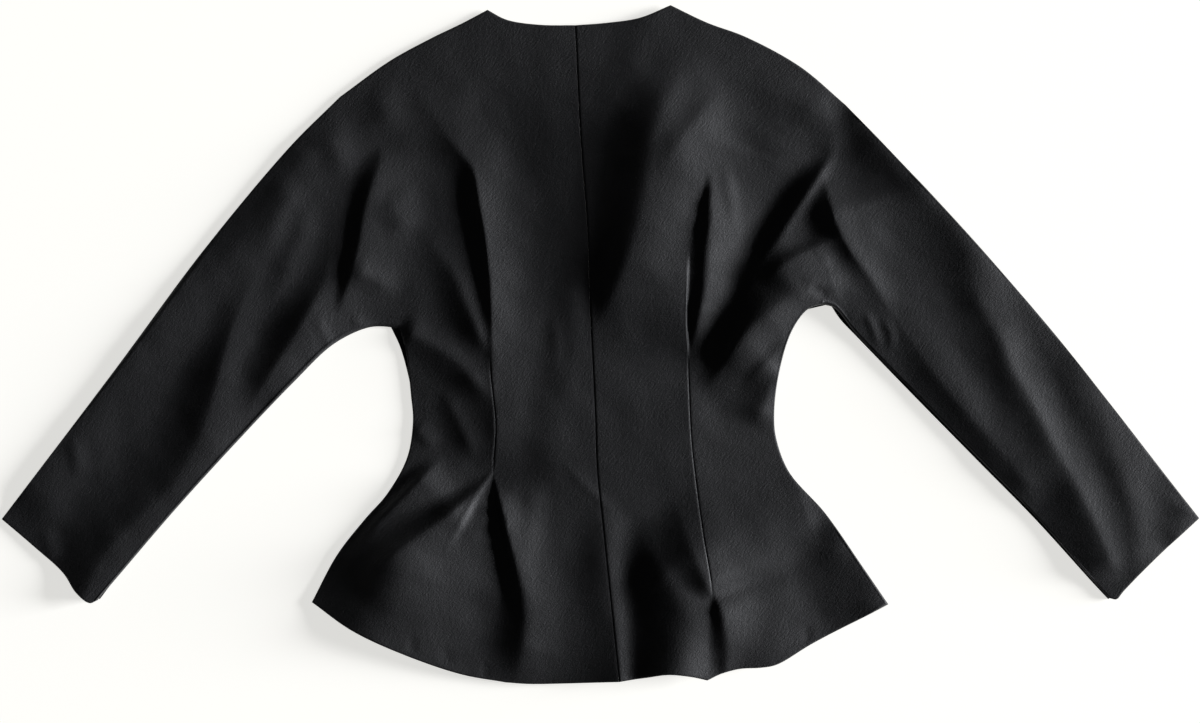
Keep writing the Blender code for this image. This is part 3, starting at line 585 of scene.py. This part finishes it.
# The folds of the back, in millimetres: the line that each runs along from its upper end, its height,
# negative for a trough, its widths on the left and on the right from its upper to its lower end, the
# share of its length over which it dies away at each end, and how round its crest is, as a share of
# its width. Columns: line of (right, down), height, left widths, right widths, fade_in, fade_out, crest
SHARP, FIRM, SOFT = 0.03, 0.18, 0.5
FOLDS = (
    # Left shoulder, from the shoulder seam to the armpit
    (((352, 112), (316, 150), (272, 205), (228, 262), (190, 318)), 3.5, (26, 30, 26), (54, 54, 44), 0.3,
     0.4, SOFT),
    (((383, 140), (382, 160), (373, 187), (365, 214), (359, 248), (348, 287), (337, 320)), 6.2,
     (8, 20, 18, 15, 11, 6), (36, 52, 60, 54, 28), 0.35, 0.3, FIRM),
    (((386, 190), (399, 214), (412, 240)), 2.2, (18, 18), (28, 28), 0.4, 0.4, SOFT),
    (((412, 222), (436, 250), (455, 277), (466, 303), (476, 328), (488, 358)), 3.6, (20, 28, 26, 16),
     (28, 24, 20, 13), 0.5, 0.2, FIRM),
    (((468, 78), (492, 108), (510, 145), (522, 200)), -2.0, (30, 30), (36, 36), 0.4, 0.4, SOFT),
    (((350, 268), (376, 281), (406, 295)), 2.4, (16, 18), (26, 26), 0.25, 0.45, FIRM),
    (((322, 128), (338, 152), (342, 182)), 1.6, (16, 16), (22, 22), 0.4, 0.4, SOFT),
    (((372, 82), (384, 108), (390, 136)), 1.6, (18, 18), (22, 22), 0.4, 0.4, SOFT),
    # Left waist tuck, open above the waist: the edge of the middle panel stands over the hollow
    (((408, 84), (425, 104), (444, 132), (459, 151), (473, 171), (480, 206), (486, 240), (490, 275),
      (491.5, 306), (492.5, 340), (493, 385)), 10.5, (40, 30, 23, 17, 11, 4), (50, 56, 58, 46, 28), 0.7,
     0.6, SHARP),
    (((484, 215), (490, 290), (493, 362), (496, 428), (494, 474)), 6.2, (70, 60, 60, 50),
     (74, 84, 100, 90), 0.4, 0.25, SHARP),
    # Left side, between the armpit and the waist
    (((398, 329), (424, 340), (450, 357), (474, 381), (496, 408)), 4.4, (24, 28, 18), (30, 28, 18), 0.15,
     0.3, FIRM),
    (((440, 386), (452, 408), (464, 432), (478, 464)), 2.2, (15, 19, 17), (24, 20), 0.35, 0.25, FIRM),
    (((446, 456), (428, 474), (411, 491), (386, 516), (356, 552), (328, 592)), 7.0, (12, 16, 14, 12, 11),
     (80, 80, 70, 60), 0.3, 0.5, FIRM),
    (((414, 424), (424, 436), (440, 447)), 1.4, (9, 9), (12, 12), 0.3, 0.4, SOFT),
    # Left sleeve
    (((335, 226), (327, 280), (312, 311), (296, 339), (280, 364), (262, 392), (242, 420)), 10.0,
     (10, 28, 34, 30, 20), (60, 90, 110, 110, 100), 0.45, 0.35, FIRM),
    (((266, 250), (236, 325), (223, 370), (211, 415), (195, 455), (170, 494), (138, 522), (108, 556),
      (78, 616)), 9.8, (18, 30, 48, 62, 58, 48), (80, 90, 120, 150, 150), 0.3, 0.03, FIRM),
    (((243, 206), (173, 299), (113, 379), (53, 454), (1, 512)), 5.0, (8, 8), (86, 96, 96, 86), 0.35, 0.15,
     FIRM),
    (((300, 172), (280, 214), (258, 262)), 2.2, (20, 20), (20, 20), 0.35, 0.4, SOFT),
    (((318, 190), (302, 230), (284, 276), (272, 306)), 1.3, (14, 14), (16, 16), 0.35, 0.4, SOFT),
    (((314, 314), (325, 334), (332, 350)), 0.6, (7, 7), (8, 8), 0.3, 0.3, SOFT),
    (((350, 316), (362, 326), (376, 330)), 0.8, (7, 7), (8, 8), 0.3, 0.3, SOFT),
    (((72, 432), (77, 455), (80, 480)), 1.0, (9, 9), (12, 12), 0.35, 0.4, SOFT),
    (((44, 525), (50, 545), (54, 560)), 1.0, (9, 9), (12, 12), 0.35, 0.2, SOFT),
    # Left half of the skirt, below the release of the tuck
    (((492, 474), (470, 498), (442, 521), (412, 543), (380, 566), (350, 588)), 12.0, (6, 16, 27, 31, 33),
     (110, 110, 110), 0.35, 0.4, FIRM),
    (((420, 520), (404, 590), (392, 670)), 6.5, (70, 70), (150, 150), 0.4, 0.02, SOFT),
    (((406, 538), (377, 595), (348, 652)), 8.0, (40, 64, 82), (90, 100, 110), 0.5, 0.03, FIRM),
    (((493.5, 470), (477, 495), (461, 522), (440, 560)), 1.1, (4, 7, 9), (3, 4, 6), 0.08, 0.6, SHARP),
    (((482, 497), (466, 525), (450, 552)), -1.2, (4, 4), (9, 12), 0.25, 0.5, SOFT),
    (((494, 474), (499, 497), (508, 536), (517, 568), (525, 598), (527, 624), (523, 654), (515, 700)),
     9.0, (3, 5, 11, 26, 33, 28), (54, 62, 74, 80), 0.24, 0.2, FIRM),
    (((534, 476), (532, 515), (530, 570)), 1.2, (12, 14), (14, 18), 0.4, 0.4, SOFT),
    (((412, 630), (413, 652)), -0.8, (4, 4), (4, 4), 0.5, 0.1, SOFT),
    (((446, 644), (447, 664)), -0.8, (4, 4), (4, 4), 0.5, 0.1, SOFT),
    (((485, 658), (486, 678)), -0.8, (4, 4), (4, 4), 0.5, 0.1, SOFT),
    # Centre seam
    (((566, 262), (574, 315), (577, 368)), 1.5, (30, 30), (18, 18), 0.45, 0.45, SOFT),
    (((552, 305), (556, 340), (557, 378)), 0.7, (9, 9), (8, 8), 0.45, 0.45, SOFT),
    (((558, 458), (590, 490), (620, 518)), 0.6, (6, 6), (6, 6), 0.35, 0.35, SOFT),
    (((600, 490), (606, 552), (612, 612), (619, 700)), 7.0, (24, 40, 40), (26, 22, 14), 0.5, 0.02, SOFT),
    # Right half of the middle panel
    (((704, 46), (678, 86), (661, 120), (652, 160), (645, 205), (633, 251), (618, 288), (604, 318),
      (588, 354)), 11.5, (28, 33, 38, 38, 31, 21, 14), (90, 104, 100, 84, 70), 0.33, 0.36, SOFT),
    (((655, 20), (648, 100), (640, 180), (628, 260), (600, 360)), 6.0, (130, 120, 90), (130, 130, 110),
     0.3, 0.4, SOFT),
    (((730, 82), (706, 110), (686, 134), (668, 160), (654, 184)), 2.8, (22, 22), (52, 60), 0.4, 0.4,
     FIRM),
    # Right waist tuck, open above the waist: its hollow, and the lips on both sides
    (((709.5, 168), (708.5, 190), (708, 221), (705.5, 255), (703, 290), (697, 321), (690, 359)), 7.4,
     (3, 5, 13, 20, 17, 11, 3), (110, 120, 120, 110, 80, 50), 0.4, 0.24, SHARP),
    (((687.5, 244), (686, 282), (685, 321), (687.5, 362)), 3.0, (50, 50, 44), (3, 3), 0.35, 0.2, FIRM),
    (((722, 160), (729, 193), (736, 244)), 0.8, (8, 8), (8, 8), 0.4, 0.4, SOFT),
    (((688, 362), (689.5, 400), (692, 445), (697, 492), (704, 538)), 3.6, (90, 90, 70), (110, 120, 130),
     0.35, 0.3, SHARP),
    # Right shoulder, from the shoulder seam to the armpit
    (((818, 78), (804, 116), (778, 152), (746, 196)), 5.0, (62, 56), (44, 44), 0.3, 0.4, SOFT),
    (((838, 144), (820, 172), (801, 201), (784, 228), (770, 251), (757, 274), (743, 306), (730, 338)),
     8.5, (8, 18, 24, 28, 28, 22, 14), (110, 110, 120, 140, 140, 120), 0.25, 0.5, FIRM),
    (((802, 182), (774, 217), (756, 248), (742, 277), (731, 306), (722, 332), (713, 362)), -4.4,
     (14, 28, 44, 46, 34, 16), (10, 18, 28, 28, 20, 10), 0.3, 0.25, FIRM),
    (((895, 325), (868, 304), (845, 290), (826, 286), (808, 290), (790, 299), (770, 313), (752, 328),
      (736, 345), (724, 365), (700, 404)), 9.5, (26, 36, 48, 54, 44, 26, 14), (100, 90, 80, 70), 0.5,
     0.25, FIRM),
    (((808, 290), (790, 299), (770, 313), (753, 329), (739, 346), (724, 365), (704, 396)), 5.5,
     (30, 44, 44, 32, 20, 12), (70, 70, 64, 56), 0.4, 0.3, FIRM),
    (((836, 148), (820, 174), (802, 202), (785, 228), (768, 256)), 1.7, (6, 8, 8), (8, 12, 12, 9), 0.3,
     0.35, SHARP),
    (((842, 240), (818, 247), (796, 258), (776, 271), (760, 286)), 4.8, (10, 13, 15, 14, 12),
     (80, 80, 70, 60), 0.3, 0.35, FIRM),
    (((822, 172), (829, 204), (837, 228), (850, 252), (870, 280), (897, 320), (930, 365)), 10.5,
     (8, 24, 34, 34, 64, 90, 90), (250, 250, 240, 200), 0.27, 0.65, SHARP),
    (((808, 286), (818, 292), (830, 297)), -1.2, (8, 8), (8, 8), 0.3, 0.4, SOFT),
    # Right side, between the armpit and the waist
    (((794, 334), (776, 352), (759, 371), (742, 391)), 1.6, (10, 12), (24, 24), 0.25, 0.4, FIRM),
    (((784, 364), (768, 394), (752, 430)), 4.4, (24, 34), (30, 32), 0.3, 0.3, FIRM),
    # Right sleeve
    (((844, 238), (865, 270), (880, 295), (896, 322)), 1.1, (14, 16, 16), (20, 24), 0.3, 0.35, FIRM),
    (((878, 288), (918, 350), (948, 390), (988, 435), (1024, 480), (1042, 510)), 4.8, (16, 28, 36, 32),
     (60, 60, 54, 40), 0.4, 0.25, FIRM),
    (((960, 262), (977, 300), (997, 337), (1010, 370), (1030, 405), (1050, 445), (1070, 480), (1090, 520),
      (1116, 584)), 6.2, (28, 36, 40, 42, 46, 60), (32, 32, 32, 32), 0.35, 0.05, FIRM),
    (((1052, 310), (1080, 362), (1096, 405), (1112, 450), (1126, 495), (1134, 535), (1136, 580)), 3.9,
     (62, 60, 46, 34), (54, 54, 46, 40), 0.2, 0.1, FIRM),
    (((1192, 500), (1182, 522), (1168, 552)), 2.6, (24, 24), (20, 20), 0.3, 0.3, SOFT),
    (((812, 84), (822, 112), (829, 140), (826, 162)), 1.6, (30, 30), (18, 18), 0.4, 0.3, SOFT),
    (((836, 92), (882, 142), (932, 196), (977, 246), (1032, 309), (1092, 381)), 6.0, (70, 80, 80, 60),
     (16, 16), 0.12, 0.5, FIRM),
    (((846, 104), (882, 142), (932, 196), (977, 246), (1012, 286)), 5.0, (40, 52, 54, 46), (16, 16), 0.25,
     0.35, FIRM),
    (((956, 232), (976, 285), (992, 328)), 2.6, (26, 26), (40, 40), 0.4, 0.4, SOFT),
    (((862, 310), (872, 328), (879, 350)), 0.9, (5, 6), (6, 7), 0.35, 0.35, SOFT),
    (((880, 316), (890, 334), (890, 354)), 0.8, (5, 6), (7, 7), 0.35, 0.35, SOFT),
    # Right half of the skirt
    (((636, 520), (661, 560), (677, 590), (684, 613), (681, 640), (676, 668), (666, 704)), 15.5,
     (26, 48, 58, 54, 48), (80, 80, 52, 40), 0.25, 0.04, SOFT),
    (((674, 484), (683, 518), (692, 545), (703, 573), (714, 602)), 6.2, (16, 23, 28, 22, 10),
     (200, 200, 200), 0.75, 0.2, FIRM),
    (((713, 588), (721, 612), (726, 640), (732, 694)), 6.2, (5, 11, 17, 22), (100, 100, 110), 0.35, 0.3,
     FIRM),
    (((755, 470), (764, 540), (771, 620), (778, 690)), 4.5, (110, 110), (60, 70), 0.4, 0.1, SOFT),
    (((783, 456), (797, 490), (808, 522), (815, 556)), 0.9, (30, 26), (14, 14), 0.3, 0.4, FIRM),
    (((824, 514), (842, 540), (862, 568), (886, 606)), 8.0, (34, 50, 60), (14, 14), 0.4, 0.03, SOFT),
    (((804, 622), (807, 642)), -0.9, (4, 4), (4, 4), 0.5, 0.1, SOFT),
    (((724, 652), (726, 676)), 0.9, (4, 4), (4, 4), 0.5, 0.1, SOFT),
)


def fold_height(points):
    """The sum of all the folds at each point."""
    total = np.zeros(len(points))
    for line, height, left, right, fade_in, fade_out, crest in FOLDS:
        path = smooth_line(line, steps=FOLD_STEPS)
        reach = 2 * max(*left, *right) * MM
        near = np.all((points > path.min(axis=0) - reach) & (points < path.max(axis=0) + reach), axis=1)
        if not near.any():
            continue
        away, share, turn = distance_to(path, points[near])
        left_width = np.interp(share, np.linspace(0, 1, len(left)), left)
        right_width = np.interp(share, np.linspace(0, 1, len(right)), right)
        ratio = away / (np.where(turn > 0, right_width, left_width) * MM)
        from_crest = np.sqrt(ratio**2 + crest**2) - crest
        profile = np.maximum(1 - from_crest, 0) ** 2
        strength = smooth_step(share / fade_in) * smooth_step((1 - share) / fade_out)
        total[near] += height * MM * strength * profile
    return total


def puckers(points):
    """Shallow waves in every direction, that keep the cloth from lying perfectly smooth."""
    dice = np.random.default_rng(PUCKER_SEED)
    total = np.zeros(len(points))
    for _ in range(PUCKER_WAVES):
        heading = dice.uniform(0, math.pi)
        length = dice.uniform(*PUCKER_LENGTHS)
        phase = dice.uniform(0, 2 * math.pi)
        travelled = points[:, 0] * math.cos(heading) + points[:, 1] * math.sin(heading)
        total += length * np.cos(2 * math.pi * travelled / length + phase)
    return PUCKER_SLOPE / (2 * math.pi) * math.sqrt(2 / PUCKER_WAVES) * total


def nearest_edge(edges, names, points):
    """How far each point is from the nearest of these edges of a panel."""
    away = [distance_to(smooth_line(edges[name], steps=EDGE_STEPS), points)[0] for name in names]
    return np.min(away, axis=0)


def build_back(name, edges, gap_side, material):
    """One half of the back with its sleeve, standing off the front in its folds."""
    low_shares = spaced(BACK_BELOW_WAIST, BACK_STEP, True, False)
    high_shares = spaced(BACK_ABOVE_WAIST, BACK_STEP, False, True)
    rows = joined_rows(low_shares, high_shares, BACK_BELOW_WAIST, BACK_ABOVE_WAIST)
    to_tuck = spaced(BACK_TO_TUCK, BACK_STEP, True, True)
    to_side = spaced(BACK_TUCK_TO_SIDE, BACK_STEP, True, True)
    centre = guide(CENTRE_LOW, CENTRE_HIGH, low_shares, high_shares)
    centre[:, 0] += gap_side * SEWN_GAP / 2
    tuck = guide(edges["tuck_low"], edges["tuck_high"], low_shares, high_shares)
    side = guide(edges["side"], edges["sleeve_line"], low_shares, high_shares)
    inner_foot = along(smooth_line(edges["hem_inner"]), to_tuck)
    inner_head = along(smooth_line(edges["neck"]), to_tuck)
    inner_foot[0, 0] = centre[0, 0]
    inner_head[0, 0] = centre[-1, 0]
    inner = patch(centre, tuck, inner_foot, inner_head, to_tuck, rows)
    outer_foot = along(smooth_line(edges["hem_outer"]), to_side)
    outer_head = along(smooth_line(edges["shoulder"]), to_side)
    outer = patch(tuck, side, outer_foot, outer_head, to_side, rows)
    body = np.concatenate((inner, outer[:, 1:]), axis=1)
    sections = spaced(BACK_SLEEVE, SLEEVE_STEP, False, True)
    cuff = along(smooth_line(edges["cuff"]), high_shares)
    underarm = along(smooth_line(edges["underarm"]), sections)
    overarm = along(smooth_line(edges["overarm"]), sections)
    sleeve = patch(side[len(low_shares) - 1:], cuff, underarm, overarm, sections, high_shares)
    points, faces = panel_grid(body, sleeve)

    to_sewn = nearest_edge(edges, SEWN_EDGES, points)
    to_edge = np.minimum(to_sewn, nearest_edge(edges, FREE_EDGES, points))
    rise = LOFT * (1 - np.exp(-to_sewn / EDGE_ROUND))
    relief = rise + fold_height(points) * np.sqrt(1 - np.exp(-to_sewn / EDGE_DROP)) + puckers(points)
    low_seam = smooth_line(CENTRE_LOW, steps=EDGE_STEPS)
    high_seam = smooth_line(CENTRE_HIGH, steps=EDGE_STEPS)
    to_seam = distance_to(np.vstack((low_seam, high_seam[1:])), points)[0]
    to_tuck_seam, share, _ = distance_to(smooth_line(edges["tuck_low"], steps=EDGE_STEPS), points)
    sewn_from, sewn_to = edges["tuck_sewn"]
    sewn = smooth_step((share - sewn_from) / SEWN_FADE) * smooth_step((sewn_to - share) / SEWN_FADE)
    relief = relief - TUCK_GROOVE * sewn * np.exp(-(to_tuck_seam / SEAM_WIDTH) ** 2)
    relief = (relief + np.sqrt(relief**2 + (2 * SETTLE) ** 2)) / 2 - SETTLE
    fronts_top = button_lift(points) + lap_lift(points) + CLOTH
    underside = fronts_top + SEAM_GAP + np.maximum(relief, 0)
    wall = CLOTH * np.minimum(steepness(points, underside, faces), SLOPE_LIMIT)
    wall = wall - edges["centre_groove"] * MM * np.exp(-(to_seam / SEAM_WIDTH) ** 2)
    rounding = np.sqrt(np.clip(1 - (1 - np.minimum(to_edge / EDGE_RADIUS, 1)) ** 2, 0, 1))
    wall = wall * (RIM_SHARE + (1 - RIM_SHARE) * rounding)
    from_rim = np.maximum(to_seam - SEWN_GAP / 2, 0)
    lean = -gap_side * (SEWN_GAP - CLOSED_GAP) / 2 * np.exp(-from_rim / LEAN_FADE)
    return add_cloth(name, points, faces, underside, wall, material, lean)


for node, edges, gap_side in (("back_left", BACK_LEFT, -1), ("back_right", BACK_RIGHT, 1)):
    back = build_back(node + "_cloth", edges, gap_side, cloth)
    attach(back, "root")
    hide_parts(node)

# The floor
# A plain pale studio floor under the jacket. It has a painted glow, light of its own though it is no
# lamp, so that the jacket's shadows on it stay faint.
FLOOR_REACH = 20.0
FLOOR_DROP = -0.3 * MM
FLOOR_CORNERS = ((-1, -1), (1, -1), (1, 1), (-1, 1))
FLOOR_COLOUR = (0.55, 0.547, 0.53, 1)
FLOOR_GLOW = (1, 0.994, 0.962, 1)
FLOOR_GLOW_STRENGTH = 0.7
floor_mesh = bpy.data.meshes.new("floor")
floor_points = [(x * FLOOR_REACH, y * FLOOR_REACH, FLOOR_DROP) for x, y in FLOOR_CORNERS]
floor_mesh.from_pydata(floor_points, [], [(0, 1, 2, 3)])
floor = bpy.data.objects.new("floor", floor_mesh)
bpy.context.scene.collection.objects.link(floor)
floor_material = bpy.data.materials.new("pale_floor")
floor_material.use_nodes = True
floor_shader = floor_material.node_tree.nodes["Principled BSDF"]
floor_shader.inputs["Base Color"].default_value = FLOOR_COLOUR
floor_shader.inputs["Roughness"].default_value = 0.9
floor_shader.inputs["Specular IOR Level"].default_value = 0.1
# The painted glow, which lightens the jacket's shadows on the floor
floor_shader.inputs["Emission Color"].default_value = FLOOR_GLOW
floor_shader.inputs["Emission Strength"].default_value = FLOOR_GLOW_STRENGTH
floor_mesh.materials.append(floor_material)

# The light
# One large soft light stands low on the right, a long way off, so that it is even over the jacket
# and rakes its folds. Hardly any light comes from elsewhere.
KEY_AZIMUTH = 4
KEY_ELEVATION = 11
KEY_DISTANCE = 30.0
KEY_SIZE = 10.0
KEY_POWER = 26500
ROOM_LIGHT = 0.03
key_data = bpy.data.lights.new("key", "AREA")
key_data.energy = KEY_POWER
key_data.size = KEY_SIZE
key = bpy.data.objects.new("key", key_data)
azimuth, elevation = math.radians(KEY_AZIMUTH), math.radians(KEY_ELEVATION)
key.location = (KEY_DISTANCE * math.cos(elevation) * math.cos(azimuth),
                KEY_DISTANCE * math.cos(elevation) * math.sin(azimuth),
                KEY_DISTANCE * math.sin(elevation))
key.rotation_euler = (math.pi / 2 - elevation, 0, azimuth + math.pi / 2)
bpy.context.scene.collection.objects.link(key)
world = bpy.data.worlds.new("studio")
world.use_nodes = True
background = world.node_tree.nodes["Background"]
background.inputs["Color"].default_value = (1, 1, 1, 1)
background.inputs["Strength"].default_value = ROOM_LIGHT
bpy.context.scene.world = world

# The camera
# It looks straight down, and one millimetre on the floor is one pixel of the picture.
PHOTO_SIZE = (1200, 723)
CAMERA_HEIGHT = 4.0
SENSOR = 36.0
camera_data = bpy.data.cameras.new("camera")
camera_data.sensor_width = SENSOR
camera_data.lens = SENSOR * CAMERA_HEIGHT / (PHOTO_SIZE[0] * MM)
camera = bpy.data.objects.new("camera", camera_data)
middle = place(((PHOTO_SIZE[0] / 2, PHOTO_SIZE[1] / 2),))[0]
camera.location = (middle[0], middle[1], CAMERA_HEIGHT)
bpy.context.scene.collection.objects.link(camera)
bpy.context.scene.camera = camera
bpy.context.scene.view_settings.view_transform = "Standard"
